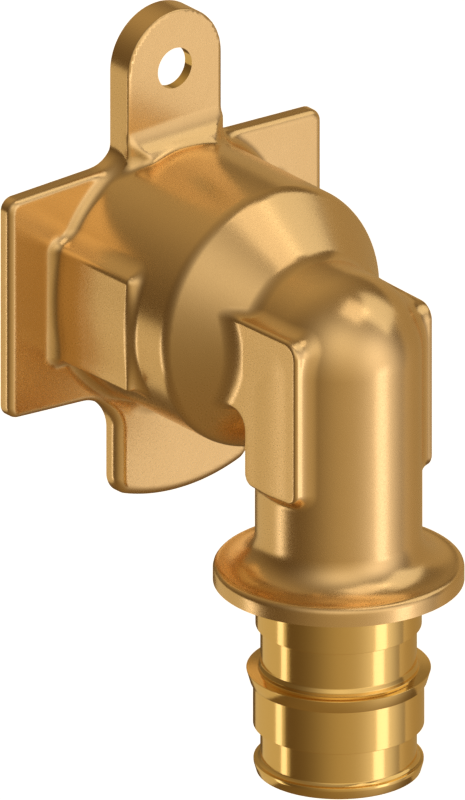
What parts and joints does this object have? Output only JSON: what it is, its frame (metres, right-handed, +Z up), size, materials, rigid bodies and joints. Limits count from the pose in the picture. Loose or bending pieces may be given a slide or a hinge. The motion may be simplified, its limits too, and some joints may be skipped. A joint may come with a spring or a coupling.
{
  "type": "wall plate elbow",
  "caption": "Cast brass elbow with a winged wall plate, a female pipe thread opening through the plate, and a ribbed spigot pointing down for expanded plastic pipe.",
  "frame": {"origin": "the socket's axis on the wall face of the plate", "axes": "+Y out of the threaded socket, into the wall; -Y towards the room; +Z up the fixing tab; the spigot points along -Z; +X to the right as seen from the room"},
  "size_m": [0.0406, 0.0429, 0.0748],
  "materials": {
    "brass": "satin as cast, smooth where the spigot is machined"
  },
  "bodies": {
    "root": {"elbow": "brass"}
  },
  "joints": []
}
